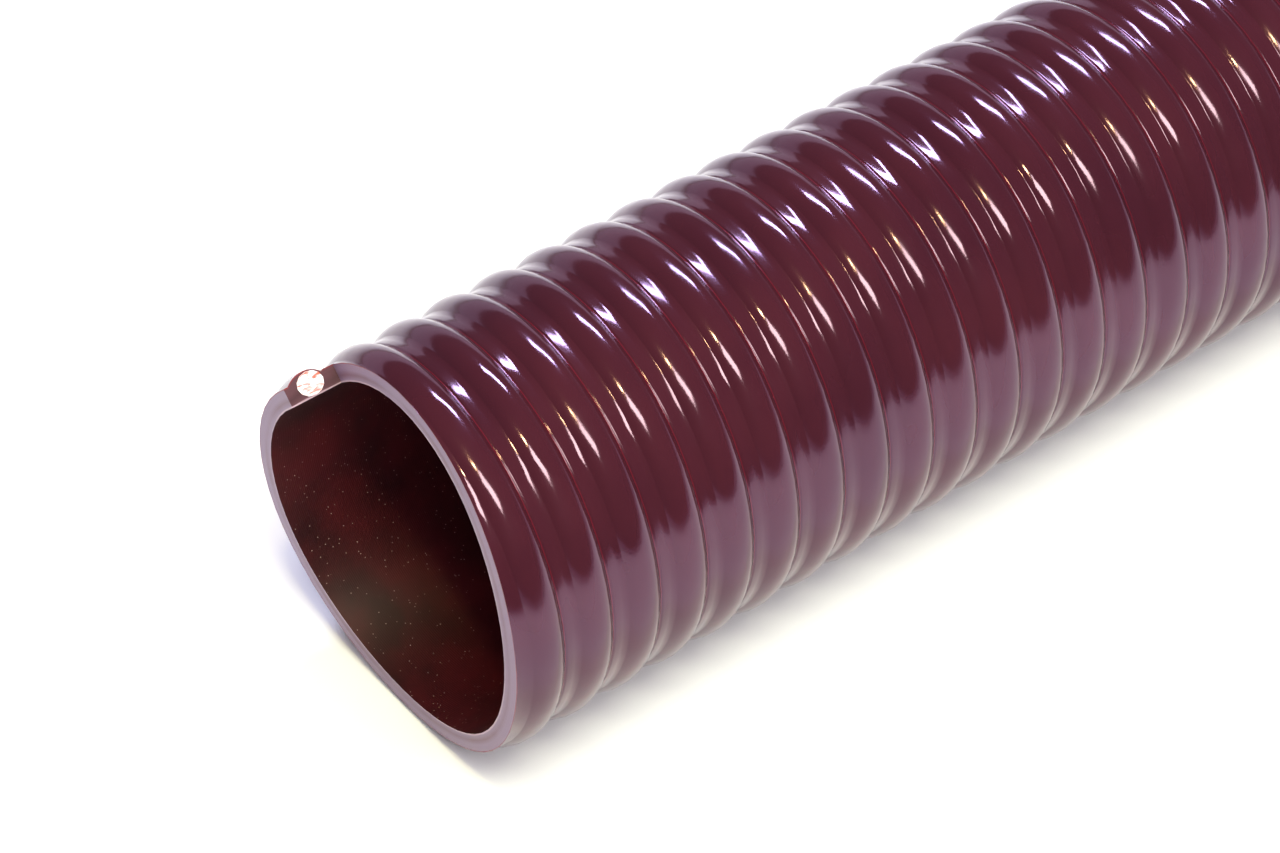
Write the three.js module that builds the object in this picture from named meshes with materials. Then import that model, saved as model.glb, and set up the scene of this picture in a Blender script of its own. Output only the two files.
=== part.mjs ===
// Sewage hose: a soft PVC wall with a rigid PVC spiral inside its rib, cut to one metre.
// Units are millimetres and +Z is up. The hose lies along X on its crests, its origin under its middle.
// Both ends are cut along the foot of the rib, so each has a step of one pitch that shows the rod.
import * as THREE from 'three';

// Driving dimensions
const BORE = 102; // inside diameter, four inches
const WALL = 5.6; // soft wall between two ribs
const PITCH = 16; // advance of the spiral in one turn
const LENGTH = 1000; // over both cut ends
const RIB_WIDTH = 11.8; // along the hose, from foot to foot
const RIB_FLANK = 2.4; // run of each sloping side of the rib
const ROD = 6.4; // diameter of the rigid spiral
const SKIN = 0.65; // soft PVC between the rod and the bore, and between the rod and the crest
const ROD_CLEARANCE = 0.3; // all round the rod, in its helical tunnel
const STEP_ANGLE = 45; // degrees from the top to the cut step, towards +Y

// Facets: their flats, not their corners, lie at the true radii
const FACETS = 12; // flats in one turn
const ROD_SIDES = 4;

// Sizes that follow
const boreRadius = BORE / 2;
const valleyRadius = boreRadius + WALL;
const crestRadius = boreRadius + ROD + 2 * SKIN;
const rodRadius = boreRadius + SKIN + ROD / 2; // from the hose's axis to the middle of the rod
const rodPlace = RIB_WIDTH / 2; // the rod runs under the middle of the rib
const stations = Math.round((LENGTH / PITCH - 1) * FACETS);
const cornerFactor = 1 / Math.cos(Math.PI / FACETS);

// Outline of the hose's outside over one pitch: how far along it, and its radius
const rib = [
  [0, valleyRadius],
  [RIB_FLANK, crestRadius],
  [RIB_WIDTH - RIB_FLANK, crestRadius],
  [RIB_WIDTH, valleyRadius],
  [PITCH, valleyRadius],
];

// Section of the rod or of its tunnel, with the area of the round rod grown by a clearance.
// It runs counter-clockwise, with the hose's length to the right and its radius upwards.
function rodSection(clearance) {
  const corner = Math.PI / ROD_SIDES;
  const roundArea = Math.PI * (ROD / 2) ** 2;
  const flat = Math.sqrt(roundArea / (ROD_SIDES * Math.tan(corner))) + clearance;
  const reach = flat / Math.cos(corner);
  return Array.from({ length: ROD_SIDES }, (_, side) => {
    const angle = (2 * side + 1) * corner - Math.PI / 2;
    return [rodPlace + reach * Math.cos(angle), rodRadius + reach * Math.sin(angle)];
  });
}

// A closed mesh that is put together corner by corner and face by face
class Skin {
  constructor() {
    this.corners = [];
    this.triangles = [];
  }

  // A corner on the spiral: its station, and its place in the section at that station
  corner(station, [along, radius]) {
    const angle = THREE.MathUtils.degToRad(STEP_ANGLE + (station * 360) / FACETS);
    const x = (station * PITCH) / FACETS + along - LENGTH / 2;
    const reach = radius * cornerFactor;
    this.corners.push(x, reach * Math.sin(angle), reach * Math.cos(angle) + crestRadius);
    return this.corners.length / 3 - 1;
  }

  // A flat face of three or more corners, split into triangles that all meet at its first corner
  face(...loop) {
    for (let i = 1; i < loop.length - 1; i += 1) {
      this.triangles.push(loop[0], loop[i], loop[i + 1]);
    }
  }

  // A face across the section with holes in it. It looks back along the spiral, or ahead.
  section(outline, holes, ahead) {
    const flatten = (loop) => loop.map(({ place }) => new THREE.Vector2(...place));
    const numbers = [outline, ...holes].flat().map(({ index }) => index);
    const split = THREE.ShapeUtils.triangulateShape(flatten(outline), holes.map(flatten));
    for (const [a, b, c] of split) {
      const loop = [numbers[a], numbers[b], numbers[c]];
      this.face(...(ahead ? loop.reverse() : loop));
    }
  }

  geometry() {
    const shape = new THREE.BufferGeometry();
    shape.setAttribute('position', new THREE.Float32BufferAttribute(this.corners, 3));
    shape.setIndex(this.triangles);
    shape.computeVertexNormals();
    return shape;
  }
}

// A tube along the spiral: its rings of corners, with faces that look away from it or into it
function tube(skin, section, inwards) {
  const rings = [];
  for (let station = 0; station <= stations; station += 1) {
    rings.push(section.map((place) => ({ place, index: skin.corner(station, place) })));
  }
  for (let station = 0; station < stations; station += 1) {
    section.forEach((_, side) => {
      const next = (side + 1) % section.length;
      const [a, b] = [rings[station][side].index, rings[station][next].index];
      const [c, d] = [rings[station + 1][next].index, rings[station + 1][side].index];
      skin.face(...(inwards ? [a, b, c, d] : [a, d, c, b]));
    });
  }
  return rings;
}

function rigidHelix() {
  const skin = new Skin();
  const rings = tube(skin, rodSection(0), false);
  skin.section(rings[0], [], false);
  skin.section(rings[stations], [], true);
  return skin.geometry();
}

function softWall() {
  const skin = new Skin();
  const lastTurn = stations - FACETS;
  const reach = rib.length - 1;

  // Outside: a turn's last point is the first point of the turn after it, where there is one
  const outside = [];
  for (let station = 0; station <= stations; station += 1) {
    outside.push(rib.slice(0, reach).map((place) => skin.corner(station, place)));
  }
  for (let station = 0; station <= stations; station += 1) {
    const follows = outside[station + FACETS];
    outside[station].push(follows ? follows[0] : skin.corner(station, rib[reach]));
  }
  for (let station = 0; station < stations; station += 1) {
    for (let point = 0; point < reach; point += 1) {
      const [here, ahead] = [outside[station], outside[station + 1]];
      skin.face(here[point], here[point + 1], ahead[point + 1], ahead[point]);
    }
  }

  // Bore: one flat for each facet, from the near cut edge to the far one
  const near = [];
  const far = [];
  for (let turn = 0; turn <= FACETS; turn += 1) {
    near.push(skin.corner(turn, [0, boreRadius]));
    far.push(skin.corner(lastTurn + turn, [PITCH, boreRadius]));
  }
  for (let facet = 0; facet < FACETS; facet += 1) {
    const end = (((facet - lastTurn) % FACETS) + FACETS) % FACETS;
    const loop = [near[facet], near[facet + 1], far[end + 1], far[end]];
    if (end === FACETS - 1) loop.splice(2, 0, far[0]);
    if (facet === 0) loop.push(near[FACETS]);
    // The fan starts at a corner that lies inside a long side, so that no triangle is a line
    const start = facet === 0 ? loop.length - 1 : Math.max(0, loop.indexOf(far[0], 1));
    skin.face(...loop.slice(start), ...loop.slice(0, start));
  }

  // Cut edges along the spiral, at both ends
  for (let facet = 0; facet < FACETS; facet += 1) {
    const nearRim = [outside[facet][0], outside[facet + 1][0]];
    skin.face(near[facet], nearRim[0], nearRim[1], near[facet + 1]);
    const farRim = [outside[lastTurn + facet][reach], outside[lastTurn + facet + 1][reach]];
    skin.face(far[facet], far[facet + 1], farRim[1], farRim[0]);
  }

  // Steps: the whole section of the wall, with the tunnel's mouth in it
  const rings = tube(skin, rodSection(ROD_CLEARANCE), true);
  const step = (station, inner) => [
    { place: [0, boreRadius], index: inner[0] },
    { place: [PITCH, boreRadius], index: inner[1] },
    ...rib.map((place, point) => ({ place, index: outside[station][point] })).reverse(),
  ];
  skin.section(step(0, [near[0], near[FACETS]]), [[...rings[0]].reverse()], false);
  skin.section(step(stations, [far[0], far[FACETS]]), [[...rings[stations]].reverse()], true);
  return skin.geometry();
}

const softPvc = new THREE.MeshStandardMaterial({ color: '#5c2029', roughness: 0.22, metalness: 0 });
const rigidPvc = new THREE.MeshStandardMaterial({ color: '#f3e9ea', roughness: 0.4, metalness: 0 });

const hose = new THREE.Group();
for (const [name, geometry, material] of [
  ['soft_wall', softWall(), softPvc],
  ['rigid_helix', rigidHelix(), rigidPvc],
]) {
  const mesh = new THREE.Mesh(geometry, material);
  mesh.name = name;
  hose.add(mesh);
}

export default hose;
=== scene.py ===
"""A straight metre of oxblood sewage hose: a soft PVC wall wound round a rigid white PVC spiral.

Lengths are in metres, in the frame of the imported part: +X runs along the hose from the cut end that
faces the camera, +Z is up, and the hose lies on the crests of its rib at height nought.
"""

import logging
import math
from dataclasses import dataclass
from enum import Enum
from typing import Any

import bmesh
import bpy
from mathutils import Matrix, Vector

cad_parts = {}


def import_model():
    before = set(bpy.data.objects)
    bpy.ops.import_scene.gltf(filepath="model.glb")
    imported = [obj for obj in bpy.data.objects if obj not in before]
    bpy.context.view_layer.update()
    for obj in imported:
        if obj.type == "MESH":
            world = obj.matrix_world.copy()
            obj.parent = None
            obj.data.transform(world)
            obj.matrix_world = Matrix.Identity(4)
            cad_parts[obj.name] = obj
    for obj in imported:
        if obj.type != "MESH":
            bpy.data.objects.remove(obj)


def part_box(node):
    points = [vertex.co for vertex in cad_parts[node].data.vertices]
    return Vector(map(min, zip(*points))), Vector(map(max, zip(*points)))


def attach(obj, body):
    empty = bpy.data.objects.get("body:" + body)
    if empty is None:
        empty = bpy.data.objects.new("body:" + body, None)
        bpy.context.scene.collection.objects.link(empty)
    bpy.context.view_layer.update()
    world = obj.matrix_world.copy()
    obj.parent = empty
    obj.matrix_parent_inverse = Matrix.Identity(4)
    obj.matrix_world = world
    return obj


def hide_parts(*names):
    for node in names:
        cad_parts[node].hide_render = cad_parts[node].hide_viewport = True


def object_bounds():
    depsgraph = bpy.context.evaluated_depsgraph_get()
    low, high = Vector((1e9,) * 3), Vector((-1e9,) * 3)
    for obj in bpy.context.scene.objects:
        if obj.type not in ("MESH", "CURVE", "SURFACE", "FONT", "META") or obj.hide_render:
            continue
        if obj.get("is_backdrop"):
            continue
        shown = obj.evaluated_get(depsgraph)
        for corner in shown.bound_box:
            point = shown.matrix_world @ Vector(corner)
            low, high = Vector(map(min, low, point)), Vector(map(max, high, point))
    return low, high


LOG = logging.getLogger("sewage_hose")
MM = 0.001
FULL_TURN = 2 * math.pi
SAME_PLACE = 0.01 * MM  # corners nearer than this are one corner


class Surface(Enum):
    """The finishes on the wall, numbered as its material slots are."""

    OUTSIDE = 0
    BORE = 1
    CUT = 2
    STEP = 3


def linear(hex_colour: str) -> tuple[float, float, float, float]:
    """Turns an sRGB hex colour into the linear colour that a shader takes.

    Args:
        hex_colour: six hex digits after a hash.

    Returns:
        Red, green, blue and an alpha of one.
    """
    shares = [int(hex_colour[place : place + 2], 16) / 255 for place in (1, 3, 5)]
    red, green, blue = (s / 12.92 if s <= 0.04045 else ((s + 0.055) / 1.055) ** 2.4 for s in shares)
    return (red, green, blue, 1.0)


def add(
    tree: bpy.types.NodeTree,
    kind: str,
    settings: dict[str, Any] | None = None,
    values: dict[str | int, Any] | None = None,
    links: dict[str | int, bpy.types.NodeSocket | bpy.types.Node] | None = None,
) -> bpy.types.Node:
    """Adds a node with its settings, the values on its sockets and its links.

    Args:
        tree: the material's or the world's nodes.
        kind: the node's type name.
        settings: attributes of the node itself.
        values: default values of its inputs, by name or number.
        links: output sockets of other nodes, or nodes whose first output is meant, by input.

    Returns:
        The new node.
    """
    made = tree.nodes.new(kind)
    for name, value in (settings or {}).items():
        setattr(made, name, value)
    for name, value in (values or {}).items():
        made.inputs[name].default_value = value
    for name, source in (links or {}).items():
        socket = source.outputs[0] if isinstance(source, bpy.types.Node) else source
        tree.links.new(socket, made.inputs[name])
    return made


def ramp(node: bpy.types.Node, stops: list[tuple[float, str]]) -> None:
    """Sets a colour ramp's stops.

    Args:
        node: the ramp.
        stops: each stop's place, from nought to one, and its sRGB hex colour.
    """
    elements = node.color_ramp.elements
    while len(elements) > 1:
        elements.remove(elements[-1])
    for number, (place, colour) in enumerate(stops):
        stop = elements[0] if number == 0 else elements.new(place)
        stop.position = place
        stop.color = linear(colour)


@dataclass(frozen=True)
class Spiral:
    """The left-handed spiral that the wall and its rod are wound on."""

    pitch: float
    axis_height: float
    start: float  # where the mean cut line begins, at the near step
    half_turns: int
    step_angle: float = math.radians(45)  # from the top to the near step, towards +Y
    steps: int = 28  # in half a turn

    @classmethod
    def in_frame(cls, pitch: float, lead: float) -> "Spiral":
        """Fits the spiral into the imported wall.

        Args:
            pitch: how far the spiral advances in one turn.
            lead: how far the mean cut line starts before the wall's low end.

        Returns:
            The spiral, from one cut step to the other.
        """
        low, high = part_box("soft_wall")
        turns = (high.x - low.x) / pitch - 1
        return cls(pitch, (low.z + high.z) / 2, low.x - lead, round(2 * turns))

    def wind(
        self, points: list[tuple[float, float]], closed: bool, first: int, count: int
    ) -> bmesh.types.BMesh:
        """Winds an outline into a skin, half a turn at a time.

        Args:
            points: places in the section, each along the hose from the cut edge and out from the axis.
            closed: whether the last point joins the first, as round a rod.
            first: how many half turns lie before the skin.
            count: how many half turns it runs.

        Returns:
            A new mesh with loose ends, in its place on the hose.
        """
        skin = bmesh.new()
        corners = [skin.verts.new((along, 0, radius)) for along, radius in points]
        outline = corners + [skin.edges.new(pair) for pair in zip(corners, corners[1:])]
        if closed:
            outline.append(skin.edges.new((corners[-1], corners[0])))
        advance = self.pitch / 2
        bmesh.ops.spin(
            skin, geom=outline, cent=(0, 0, 0), axis=(1, 0, 0), dvec=(advance / self.steps, 0, 0),
            angle=-math.pi, steps=self.steps, use_merge=False, use_duplicate=False,
        )
        half = skin.verts[:] + skin.edges[:] + skin.faces[:]
        for number in range(1, count):
            copy = bmesh.ops.duplicate(skin, geom=half)["geom"]
            moved = [item for item in copy if isinstance(item, bmesh.types.BMVert)]
            if number % 2:
                over = Matrix.Rotation(math.pi, 3, "X")
                bmesh.ops.rotate(skin, cent=(0, 0, 0), matrix=over, verts=moved)
            bmesh.ops.translate(skin, vec=(advance * number, 0, 0), verts=moved)
        turned = Matrix.Rotation(-self.step_angle - math.pi * first, 3, "X")
        bmesh.ops.rotate(skin, cent=(0, 0, 0), matrix=turned, verts=skin.verts)
        place = (self.start + advance * first, 0, self.axis_height)
        bmesh.ops.translate(skin, vec=place, verts=skin.verts)
        return skin

    def phase(self, tree: bpy.types.NodeTree) -> bpy.types.NodeSocket:
        """Adds the nodes that say how far across the wound strip a point is.

        Args:
            tree: the material's nodes.

        Returns:
            A socket that runs from nought to one over each pitch, from one cut edge to the next.
        """
        place = add(tree, "ShaderNodeTexCoord").outputs["Object"]
        split = add(tree, "ShaderNodeSeparateXYZ", links={0: place}).outputs
        up = add(tree, "ShaderNodeMath", {"operation": "SUBTRACT"}, {1: self.axis_height}, {0: split["Z"]})
        angle = add(tree, "ShaderNodeMath", {"operation": "ARCTAN2"}, links={0: split["Y"], 1: up})
        turns = add(tree, "ShaderNodeMath", {"operation": "DIVIDE"}, {1: FULL_TURN}, {0: angle})
        along = add(tree, "ShaderNodeMath", {"operation": "DIVIDE"}, {1: self.pitch}, {0: split["X"]})
        across = add(tree, "ShaderNodeMath", {"operation": "SUBTRACT"}, links={0: along, 1: turns})
        shift = self.step_angle / FULL_TURN - self.start / self.pitch
        shifted = add(tree, "ShaderNodeMath", {"operation": "ADD"}, {1: shift}, {0: across})
        return add(tree, "ShaderNodeMath", {"operation": "FRACT"}, links={0: shifted}).outputs[0]

    def radius(self, tree: bpy.types.NodeTree) -> bpy.types.NodeSocket:
        """Adds the nodes that measure a point's distance from the hose's axis.

        Args:
            tree: the material's nodes.

        Returns:
            A socket with that distance.
        """
        place = add(tree, "ShaderNodeTexCoord").outputs["Object"]
        flat = add(
            tree, "ShaderNodeMapping",
            values={"Location": (0, 0, -self.axis_height), "Scale": (0, 1, 1)}, links={"Vector": place},
        )
        measured = add(tree, "ShaderNodeVectorMath", {"operation": "LENGTH"}, links={0: flat})
        return measured.outputs["Value"]


@dataclass(frozen=True)
class Profile:
    """The wall's section over one pitch: flat band, concave corner, round rib and seam groove."""

    inner_radius: float
    crest_radius: float
    thickness: float = 5.6 * MM
    crest_place: float = 8.0 * MM  # along the hose from the mean cut line
    left_half: float = 5.7 * MM  # of the rib, from the concave corner to its crest
    right_half: float = 4.9 * MM  # of the rib, from its crest to the seam
    fullness: float = 2.3  # the power of the rib's curve, where 2 would be a parabola
    seam_depth: float = 0.3 * MM
    seam_width: float = 0.5 * MM
    seam_bottom: float = 0.4  # how far across the seam its bottom lies
    seam_lip: float = 0.04 * MM  # how far the band stands up beside the seam
    band_swell: float = 0.12 * MM  # how far it stands up a seam's width further on
    rib_points: int = 10

    @property
    def valley_radius(self) -> float:
        """The outside radius between two ribs."""
        return self.inner_radius + self.thickness

    @property
    def seam_place(self) -> float:
        """Where the bottom of the seam groove lies along the section."""
        return self.crest_place + self.right_half + self.seam_bottom * self.seam_width

    def points(self, pitch: float) -> list[tuple[float, float]]:
        """Draws the outside over one pitch.

        Args:
            pitch: how far the spiral advances in one turn.

        Returns:
            Places along the hose from the mean cut line, and out from its axis.
        """
        height = self.crest_radius - self.valley_radius
        points = [(0.0, self.valley_radius)]
        for number in range(self.rib_points + 1):
            across = -math.cos(math.pi * number / self.rib_points)
            half = self.left_half if across < 0 else self.right_half
            rise = (1 - abs(across) ** self.fullness) * height
            points.append((self.crest_place + across * half, self.valley_radius + rise))
        end = self.crest_place + self.right_half
        points += [
            (self.seam_place, self.valley_radius - self.seam_depth),
            (end + self.seam_width, self.valley_radius + self.seam_lip),
            (end + 2 * self.seam_width, self.valley_radius + self.band_swell),
            (pitch, self.valley_radius),
        ]
        return points

    def surface(self, tree: bpy.types.NodeTree, spiral: Spiral) -> bpy.types.NodeSocket:
        """Adds the nodes that say how far from the axis the outside lies above a point.

        Args:
            tree: the material's nodes.
            spiral: the spiral that the section is wound on.

        Returns:
            A socket with the outside's radius at the point's place in the section.
        """
        height = self.crest_radius - self.valley_radius
        phase = spiral.phase(tree)
        along = add(tree, "ShaderNodeMath", {"operation": "MULTIPLY"}, {1: spiral.pitch}, {0: phase})
        offset = add(tree, "ShaderNodeMath", {"operation": "SUBTRACT"}, {1: self.crest_place}, {0: along})
        left = add(tree, "ShaderNodeMath", {"operation": "DIVIDE"}, {1: -self.left_half}, {0: offset})
        right = add(tree, "ShaderNodeMath", {"operation": "DIVIDE"}, {1: self.right_half}, {0: offset})
        across = add(tree, "ShaderNodeMath", {"operation": "MAXIMUM"}, links={0: left, 1: right})
        within = add(tree, "ShaderNodeMath", {"operation": "MINIMUM"}, {1: 1.0}, {0: across})
        fall = add(tree, "ShaderNodeMath", {"operation": "POWER"}, {1: self.fullness}, {0: within})
        drop = add(tree, "ShaderNodeMath", {"operation": "MULTIPLY"}, {1: -height}, {0: fall})
        outside = add(tree, "ShaderNodeMath", {"operation": "ADD"}, {1: self.crest_radius}, {0: drop})
        return outside.outputs[0]


@dataclass(frozen=True)
class ExtrudedSoftPvc:
    """Plasticised PVC as it leaves the die: glossy oxblood, smooth, with a seam beside each rib."""

    spiral: Spiral
    seam_share: float
    body: str = "#3d171e"
    deep: str = "#34121a"
    seam: str = "#5e121c"
    seam_line: float = 0.012  # its share of the pitch
    gloss: str = "#ffd2ff"  # the tint of what the skin mirrors
    polish: float = 0.66  # how strongly it mirrors, where 0.5 is plain plastic
    ior: float = 1.53
    smooth: float = 0.08
    handled: float = 0.20
    drift: float = 40 * MM
    wear: float = 18 * MM
    swell: float = 14 * MM
    grain: float = 0.9 * MM  # the real grain is finer, and is drawn as coarse as it needs to show

    def build(self) -> bpy.types.Material:
        """Makes the material of the outside."""
        made = bpy.data.materials.new("extruded_soft_pvc")
        made.use_nodes = True
        tree = made.node_tree
        shader = tree.nodes["Principled BSDF"]
        shader.inputs["IOR"].default_value = self.ior
        shader.inputs["Specular IOR Level"].default_value = self.polish
        shader.inputs["Specular Tint"].default_value = linear(self.gloss)
        place = add(tree, "ShaderNodeTexCoord").outputs["Object"]

        # The strip's colour drifts a little, and the welded seam is a thin redder line
        drift = add(tree, "ShaderNodeTexNoise", None, {"Scale": 1 / self.drift, "Detail": 3.0}, {0: place})
        tint = add(tree, "ShaderNodeValToRGB", links={"Fac": drift.outputs["Fac"]})
        ramp(tint, [(0.3, self.deep), (0.7, self.body)])
        line = add(tree, "ShaderNodeValToRGB", links={"Fac": self.spiral.phase(tree)})
        ramp(
            line,
            [
                (self.seam_share - 2 * self.seam_line, "#000000"),
                (self.seam_share, "#ffffff"),
                (self.seam_share + self.seam_line, "#000000"),
            ],
        )
        colour = add(
            tree, "ShaderNodeMix", {"data_type": "RGBA"}, {"B": linear(self.seam)},
            {"Factor": line.outputs["Color"], "A": tint.outputs["Color"]},
        )
        tree.links.new(colour.outputs["Result"], shader.inputs["Base Color"])

        # A glossy skin with duller patches where the hose has been handled
        wear = add(
            tree, "ShaderNodeTexNoise", values={"Scale": 1 / self.wear, "Detail": 5.0, "Roughness": 0.6},
            links={"Vector": place},
        )
        dull = add(
            tree, "ShaderNodeMapRange",
            values={"From Min": 0.35, "From Max": 0.8, "To Min": self.smooth, "To Max": self.handled},
            links={"Value": wear.outputs["Fac"]},
        )
        tree.links.new(dull.outputs["Result"], shader.inputs["Roughness"])

        # The die leaves slow swells in the ribs, and the compound a fine grain with pits
        swells = add(tree, "ShaderNodeTexNoise", None, {"Scale": 1 / self.swell, "Detail": 1.0}, {0: place})
        grain = add(tree, "ShaderNodeTexNoise", None, {"Scale": 1 / self.grain, "Detail": 2.0}, {0: place})
        coarse = add(
            tree, "ShaderNodeBump", values={"Strength": 0.5, "Distance": 0.35 * MM},
            links={"Height": swells.outputs["Fac"]},
        )
        fine = add(
            tree, "ShaderNodeBump", values={"Strength": 0.10, "Distance": 0.1 * MM},
            links={"Height": grain.outputs["Fac"], "Normal": coarse},
        )
        tree.links.new(fine.outputs[0], shader.inputs["Normal"])
        return made


@dataclass(frozen=True)
class BoreSoftPvc:
    """The inside of the hose: the same compound, darker and duller, with faint lines along the spiral."""

    spiral: Spiral
    dark: str = "#2a0c10"
    warm: str = "#4a1218"
    speck: str = "#c9aaa2"
    ior: float = 1.53
    roughness: float = 0.42
    cloud: float = 25 * MM
    dust: float = 1.6 * MM  # from one grain to the next
    line_share: float = 0.019  # half of the 0.6 mm between two lines, as a share of the pitch

    def build(self) -> bpy.types.Material:
        """Makes the material of the bore."""
        made = bpy.data.materials.new("bore_soft_pvc")
        made.use_nodes = True
        tree = made.node_tree
        shader = tree.nodes["Principled BSDF"]
        shader.inputs["IOR"].default_value = self.ior
        shader.inputs["Roughness"].default_value = self.roughness
        place = add(tree, "ShaderNodeTexCoord").outputs["Object"]
        cloud = add(tree, "ShaderNodeTexNoise", None, {"Scale": 1 / self.cloud, "Detail": 4.0}, {0: place})
        tint = add(tree, "ShaderNodeValToRGB", links={"Fac": cloud.outputs["Fac"]})
        ramp(tint, [(0.35, self.dark), (0.7, self.warm)])

        # Dust lies in grains about a quarter of a millimetre across, one or two millimetres apart
        dust = add(tree, "ShaderNodeTexVoronoi", {"feature": "F1"}, {"Scale": 1 / self.dust}, {0: place})
        specks = add(
            tree, "ShaderNodeMapRange",
            values={"From Min": 0.04, "From Max": 0.12, "To Min": 0.75, "To Max": 0.0},
            links={"Value": dust.outputs["Distance"]},
        )
        colour = add(
            tree, "ShaderNodeMix", {"data_type": "RGBA"}, {"B": linear(self.speck)},
            {"Factor": specks.outputs["Result"], "A": tint.outputs["Color"]},
        )
        tree.links.new(colour.outputs["Result"], shader.inputs["Base Color"])

        # The mandrel leaves fine lines round the hose
        phase = self.spiral.phase(tree)
        lines = add(tree, "ShaderNodeMath", {"operation": "PINGPONG"}, {1: self.line_share}, {0: phase})
        bump = add(tree, "ShaderNodeBump", None, {"Strength": 0.5, "Distance": 2 * MM}, {"Height": lines})
        tree.links.new(bump.outputs[0], shader.inputs["Normal"])
        return made


@dataclass(frozen=True)
class KnifeCutPvc:
    """Soft PVC where a knife went through it: matt, with drawn lines and a thin red outer edge.

    The cut round the end is a pale mauve. The step, the same knife cut, is given a dark maroon as painted
    shade.
    """

    name: str
    spiral: Spiral
    profile: Profile
    face: str
    dark: str
    inner_edge: str = "#b59aa6"
    outer_edge: str = "#7c1c28"
    ior: float = 1.53
    roughness: float = 0.45
    patch: float = 22 * MM
    drawn_line: float = 0.35 * MM

    def build(self) -> bpy.types.Material:
        """Makes the material of the cut faces."""
        made = bpy.data.materials.new(self.name)
        made.use_nodes = True
        tree = made.node_tree
        shader = tree.nodes["Principled BSDF"]
        shader.inputs["IOR"].default_value = self.ior
        shader.inputs["Roughness"].default_value = self.roughness
        place = add(tree, "ShaderNodeTexCoord").outputs["Object"]
        radius = self.spiral.radius(tree)
        share = add(
            tree, "ShaderNodeMapRange", values={"From Min": self.profile.inner_radius},
            links={"Value": radius, "From Max": self.profile.surface(tree, self.spiral)},
        )
        band = add(tree, "ShaderNodeValToRGB", links={"Fac": share.outputs["Result"]})
        ramp(
            band,
            [
                (0.0, self.inner_edge), (0.05, self.inner_edge), (0.09, self.face), (0.35, self.dark),
                (0.6, self.face), (0.93, self.face), (0.955, self.outer_edge),
            ],
        )
        patches = add(tree, "ShaderNodeTexNoise", None, {"Scale": 1 / self.patch, "Detail": 4.0}, {0: place})
        amount = add(
            tree, "ShaderNodeMapRange",
            values={"From Min": 0.4, "From Max": 0.65, "To Min": 0.0, "To Max": 0.7},
            links={"Value": patches.outputs["Fac"]},
        )
        colour = add(
            tree, "ShaderNodeMix", {"data_type": "RGBA"}, {"B": linear(self.face)},
            {"Factor": amount.outputs["Result"], "A": band.outputs["Color"]},
        )
        tree.links.new(colour.outputs["Result"], shader.inputs["Base Color"])
        drawn = add(
            tree, "ShaderNodeTexNoise", {"noise_dimensions": "1D"},
            {"Scale": 1 / self.drawn_line, "Detail": 2.0}, {"W": radius},
        )
        bump = add(
            tree, "ShaderNodeBump", values={"Strength": 0.3, "Distance": 0.2 * MM},
            links={"Height": drawn.outputs["Fac"]},
        )
        tree.links.new(bump.outputs[0], shader.inputs["Normal"])
        return made


@dataclass(frozen=True)
class RigidWhitePvc:
    """Unplasticised white PVC rod: a smooth skin, and a snipped end stained pink by the wall."""

    white: str = "#f4eef0"
    stain: str = "#e58a86"
    rust: str = "#c4552f"
    ior: float = 1.54
    roughness: float = 0.38
    depth: float = 0.15  # how much of the light comes from under the surface
    streak: float = 1.1 * MM

    def build(self) -> bpy.types.Material:
        """Makes the material of the rod."""
        made = bpy.data.materials.new("rigid_white_pvc")
        made.use_nodes = True
        tree = made.node_tree
        shader = tree.nodes["Principled BSDF"]
        shader.inputs["IOR"].default_value = self.ior
        shader.inputs["Roughness"].default_value = self.roughness
        shader.inputs["Subsurface Weight"].default_value = self.depth
        shader.inputs["Subsurface Radius"].default_value = (2 * MM, 1 * MM, 1 * MM)
        place = add(tree, "ShaderNodeTexCoord").outputs["Object"]
        smear = add(
            tree, "ShaderNodeMapping",
            values={"Scale": (0.35, 1.0, 1.0), "Rotation": (0, 0, math.radians(35))},
            links={"Vector": place},
        )
        streaks = add(
            tree, "ShaderNodeTexNoise",
            values={"Scale": 1 / self.streak, "Detail": 4.0, "Distortion": 0.8}, links={"Vector": smear},
        )
        tint = add(tree, "ShaderNodeValToRGB", links={"Fac": streaks.outputs["Fac"]})
        ramp(tint, [(0.46, self.white), (0.6, self.stain), (0.7, self.rust)])
        tree.links.new(tint.outputs["Color"], shader.inputs["Base Color"])
        bump = add(
            tree, "ShaderNodeBump", values={"Strength": 0.3, "Distance": 0.2 * MM},
            links={"Height": streaks.outputs["Fac"]},
        )
        tree.links.new(bump.outputs[0], shader.inputs["Normal"])
        return made


@dataclass(frozen=True)
class PaperFloor:
    """White background paper: matt and plain."""

    colour: str = "#f4f4f4"

    def build(self) -> bpy.types.Material:
        """Makes the material of the floor."""
        made = bpy.data.materials.new("white_paper")
        made.use_nodes = True
        shader = made.node_tree.nodes["Principled BSDF"]
        shader.inputs["Base Color"].default_value = linear(self.colour)
        shader.inputs["Roughness"].default_value = 0.9
        shader.inputs["Specular IOR Level"].default_value = 0.1
        return made


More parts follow.
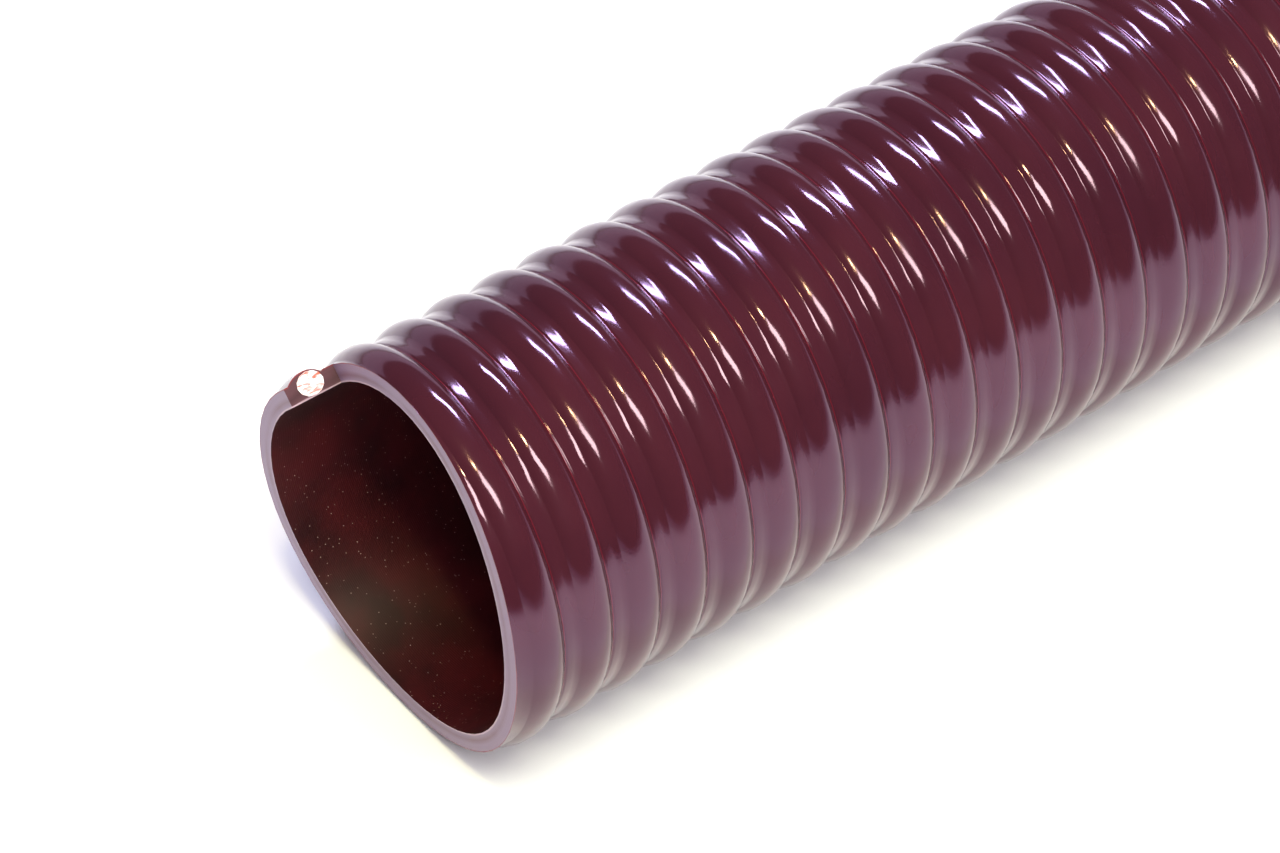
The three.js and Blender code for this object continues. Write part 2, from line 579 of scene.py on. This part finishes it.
@dataclass
class SoftWall:
    """The flexible wall: outside, bore, the tunnel round the rod, and the cut ends."""

    spiral: Spiral
    profile: Profile
    stray_once: tuple[float, float] = (0.17 * MM, 1.3 * MM)  # with the cosine and sine of the angle
    stray_twice: tuple[float, float] = (1.69 * MM, -0.04 * MM)  # with those of twice the angle

    def stray(self, angle: float) -> float:
        """How far the knife strayed along the hose from the spiral, at an angle from the top."""
        once = self.stray_once[0] * math.cos(angle) + self.stray_once[1] * math.sin(angle)
        return once + self.stray_twice[0] * math.cos(2 * angle) + self.stray_twice[1] * math.sin(2 * angle)

    def let_stray(self, wall: bmesh.types.BMesh) -> None:
        """Moves the near cut's corners along the hose to where the knife went.

        Args:
            wall: the wall before its steps are closed.
        """
        reach = self.spiral.start + 2 * self.spiral.pitch
        cuts = [face for face in wall.faces if face.material_index == Surface.CUT.value]
        for corner in {corner for face in cuts for corner in face.verts}:
            if corner.co.x < reach:
                corner.co.x += self.stray(math.atan2(corner.co.y, corner.co.z - self.spiral.axis_height))

    def build(self, rod: "RigidHelix") -> bpy.types.Object:
        """Winds every skin of the wall, closes both steps and dresses the result.

        Args:
            rod: the rigid spiral that the tunnel holds.

        Returns:
            The finished wall.
        """
        wall = bmesh.new()
        spiral = self.spiral
        last = spiral.half_turns
        inner, outer = self.profile.inner_radius, self.profile.valley_radius
        bore = [(0.0, inner), (spiral.pitch, inner)]
        near = [(0.0, inner), (0.0, outer)]
        far = [(spiral.pitch, inner), (spiral.pitch, outer)]
        skins = [
            (self.profile.points(spiral.pitch), False, 0, last, Surface.OUTSIDE),
            (bore, False, 0, last, Surface.BORE),
            (rod.section(rod.tunnel_gap), True, 0, last, Surface.BORE),
            (near, False, 0, 2, Surface.CUT),
            (far, False, last - 2, 2, Surface.CUT),
        ]
        for points, closed, first, count, surface in skins:
            skin = spiral.wind(points, closed, first, count)
            for face in skin.faces:
                face.material_index = surface.value
                face.smooth = True
            self.take_in(wall, skin)
        bmesh.ops.remove_doubles(wall, verts=wall.verts, dist=SAME_PLACE)
        self.let_stray(wall)
        rims = [edge for edge in wall.edges if edge.is_boundary]
        for face in bmesh.ops.triangle_fill(wall, use_beauty=True, edges=rims)["geom"]:
            if isinstance(face, bmesh.types.BMFace):
                face.material_index = Surface.STEP.value
        bmesh.ops.recalc_face_normals(wall, faces=wall.faces)
        for edge in wall.edges:
            kinds = {face.material_index for face in edge.link_faces}
            edge.smooth = len(kinds) == 1
        open_edges = sum(1 for edge in wall.edges if not edge.is_manifold)
        LOG.info("wall: %d faces, %d open edges", len(wall.faces), open_edges)
        finishes = [
            ExtrudedSoftPvc(spiral, self.profile.seam_place / spiral.pitch).build(),
            BoreSoftPvc(spiral).build(),
            KnifeCutPvc("knife_cut_pvc", spiral, self.profile, face="#826b84", dark="#6d4c5e").build(),
            # Painted shade: the step is the same knife cut, coloured darker to stand for the shade it lies
            # in.
            KnifeCutPvc("step_cut_pvc_painted_shade", spiral, self.profile, face="#4f2e36", dark="#3c2028").build(),
        ]
        return finished("hose_wall", wall, finishes)

    @staticmethod
    def take_in(wall: bmesh.types.BMesh, skin: bmesh.types.BMesh) -> None:
        """Adds a skin to the wall and frees it."""
        held = bpy.data.meshes.new("skin")
        skin.to_mesh(held)
        skin.free()
        wall.from_mesh(held)
        bpy.data.meshes.remove(held)


@dataclass
class RigidHelix:
    """The rigid rod, a flattened round, from one step of the wall to the other."""

    spiral: Spiral
    place: float = 8.8 * MM
    distance: float = 54.75 * MM
    half_width: float = 4.1 * MM
    half_height: float = 3.45 * MM
    tunnel_gap: float = 0.05 * MM
    sides: int = 12

    def section(self, gap: float) -> list[tuple[float, float]]:
        """Draws the rod's section, or that of the tunnel around it.

        Args:
            gap: how far outside the rod the section lies.

        Returns:
            Places along the hose and out from its axis.
        """
        width, height = self.half_width + gap, self.half_height + gap
        turns = [FULL_TURN * number / self.sides for number in range(self.sides)]
        return [(self.place + width * math.cos(a), self.distance + height * math.sin(a)) for a in turns]

    def build(self) -> bpy.types.Object:
        """Winds the rod and closes its snipped ends.

        Returns:
            The finished rod.
        """
        rod = self.spiral.wind(self.section(0.0), True, 0, self.spiral.half_turns)
        for face in rod.faces:
            face.smooth = True
        bmesh.ops.remove_doubles(rod, verts=rod.verts, dist=SAME_PLACE)
        rims = [edge for edge in rod.edges if edge.is_boundary]
        caps = bmesh.ops.holes_fill(rod, edges=rims, sides=self.sides)["faces"]
        for edge in rims:
            edge.smooth = False
        bmesh.ops.recalc_face_normals(rod, faces=rod.faces)
        LOG.info("rod: %d faces, %d snipped ends", len(rod.faces), len(caps))
        return finished("white_rod", rod, [RigidWhitePvc().build()])


def finished(name: str, shape: bmesh.types.BMesh, materials: list[bpy.types.Material]) -> bpy.types.Object:
    """Turns a shape into an object at the origin, with its materials.

    Args:
        name: the piece's name.
        shape: its mesh, which is freed.
        materials: its finishes, in the order of their slots.

    Returns:
        The new object, in the scene.
    """
    mesh = bpy.data.meshes.new(name)
    shape.to_mesh(mesh)
    shape.free()
    for material in materials:
        mesh.materials.append(material)
    piece = bpy.data.objects.new(name, mesh)
    bpy.context.scene.collection.objects.link(piece)
    return piece


@dataclass(frozen=True)
class Lamp:
    """A rectangular light. Its places are measured from the middle of the hose's near end."""

    name: str
    place: tuple[float, float, float]
    size: tuple[float, float]
    power: float  # in watts
    colour: str
    along: tuple[float, float, float] = (1.0, 0.0, 0.0)  # what its width runs along, as nearly as it can
    target: tuple[float, float, float] = (0.1, 0.0, 0.0)
    mirrored: bool = True  # whether the glossy skin shows it

    def hang(self, near_end: Vector) -> None:
        """Hangs the light so that it faces its target.

        Args:
            near_end: the middle of the hose's near end.
        """
        data = bpy.data.lights.new(self.name, "AREA")
        data.shape = "RECTANGLE"
        data.size, data.size_y = self.size
        data.energy = self.power
        data.color = linear(self.colour)[:3]
        light = bpy.data.objects.new(self.name, data)
        light.location = near_end + Vector(self.place)
        light.visible_glossy = self.mirrored
        back = (Vector(self.place) - Vector(self.target)).normalized()
        along = Vector(self.along)
        side = (along - back * along.dot(back)).normalized()
        light.rotation_euler = Matrix((side, back.cross(side), back)).transposed().to_euler()
        bpy.context.scene.collection.objects.link(light)


@dataclass
class Studio:
    """The floor, the lights and the camera."""

    near_end: Vector
    heading: float = math.radians(52.53)  # of the camera, from +X towards +Y
    dip: float = math.radians(45.29)  # below the level
    lens: float = 111.7  # on a sensor 36 mm wide
    offset: Vector = Vector((-0.3846, -0.6208, 0.7926))  # from the middle of the near end to the camera
    floor_size: float = 8.0
    low_wall: str = "#dccbe2"
    ceiling: str = "#695c6a"
    wall_top: tuple[float, float] = (0.12, 0.17)  # where the wall begins to darken and where it ends
    wall_slope: float = 0.14  # how much higher the wall is towards +Y
    lamps: tuple[Lamp, ...] = (
        Lamp("window", (0.75, 0.62, 1.13), (0.55, 0.15), 14.0, "#d6dcff", (0.82, -0.57, 0.08)),
        Lamp("ceiling_strip", (-0.1, -0.5, 1.0), (0.42, 0.22), 6.0, "#faffda", (-0.55, 1.0, 0.0)),
        Lamp("warm_bulb", (-0.2, -0.2, 0.99), (0.07, 0.07), 2.2, "#fff094", (0.82, -0.57, 0.08)),
        Lamp("sky", (0.1, -1.1, 1.9), (2.6, 2.6), 84.0, "#ffffff", mirrored=False),
    )

    def build(self) -> None:
        """Makes the whole studio."""
        self.floor()
        self.camera()
        self.world()
        for lamp in self.lamps:
            lamp.hang(self.near_end)

    def floor(self) -> None:
        """Lays the paper under the hose."""
        shape = bmesh.new()
        bmesh.ops.create_grid(shape, x_segments=1, y_segments=1, size=self.floor_size / 2)
        paper = finished("floor", shape, [PaperFloor().build()])
        paper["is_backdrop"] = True

    def camera(self) -> None:
        """Stands the camera where the photographer's was."""
        data = bpy.data.cameras.new("camera")
        data.lens = self.lens
        data.sensor_width = 36.0
        data.clip_start = 0.01
        camera = bpy.data.objects.new("camera", data)
        bpy.context.scene.collection.objects.link(camera)
        level = math.cos(self.dip)
        ahead = Vector(
            (level * math.cos(self.heading), level * math.sin(self.heading), -math.sin(self.dip))
        )
        camera.location = self.near_end + self.offset
        camera.rotation_euler = ahead.to_track_quat("-Z", "Y").to_euler()
        bpy.context.scene.camera = camera

    def world(self) -> None:
        """Fills the room: a pale wall low down, higher on the far side, and a dim ceiling above it."""
        world = bpy.data.worlds.new("room")
        world.use_nodes = True
        tree = world.node_tree
        direction = add(tree, "ShaderNodeTexCoord").outputs["Generated"]
        split = add(tree, "ShaderNodeSeparateXYZ", links={0: direction}).outputs
        drop = -self.wall_slope
        slope = add(tree, "ShaderNodeMath", {"operation": "MULTIPLY"}, {1: drop}, {0: split["Y"]})
        height = add(tree, "ShaderNodeMath", {"operation": "ADD"}, links={0: split["Z"], 1: slope})
        begin, end = self.wall_top
        shade = add(
            tree, "ShaderNodeMapRange", {"interpolation_type": "SMOOTHSTEP"},
            {"From Min": begin, "From Max": end}, {"Value": height},
        )
        colour = add(
            tree, "ShaderNodeMix", {"data_type": "RGBA"},
            {"A": linear(self.low_wall), "B": linear(self.ceiling)}, {"Factor": shade.outputs["Result"]},
        )
        tree.links.new(colour.outputs["Result"], tree.nodes["Background"].inputs["Color"])
        bpy.context.scene.world = world
        bpy.context.scene.view_settings.view_transform = "Standard"


def main() -> None:
    """Builds the hose and the studio, and says what each piece stands for."""
    cad_low, cad_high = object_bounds()
    spiral = Spiral.in_frame(pitch=16 * MM, lead=1.0 * MM)
    profile = Profile(inner_radius=51 * MM, crest_radius=spiral.axis_height - cad_low.z)
    wall = SoftWall(spiral, profile)
    rod = RigidHelix(spiral)
    pieces = [
        (wall.build(rod), "soft_wall", "soft_pvc"),
        (rod.build(), "rigid_helix", "rigid_pvc"),
    ]
    for piece, node, slot in pieces:
        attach(piece, "root")
        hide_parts(node)
        LOG.info("%s stands for %s", piece.name, node)
    Studio(near_end=Vector((spiral.start, 0, spiral.axis_height))).build()


if __name__ == "__main__":
    logging.basicConfig(level=logging.INFO)
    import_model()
    main()
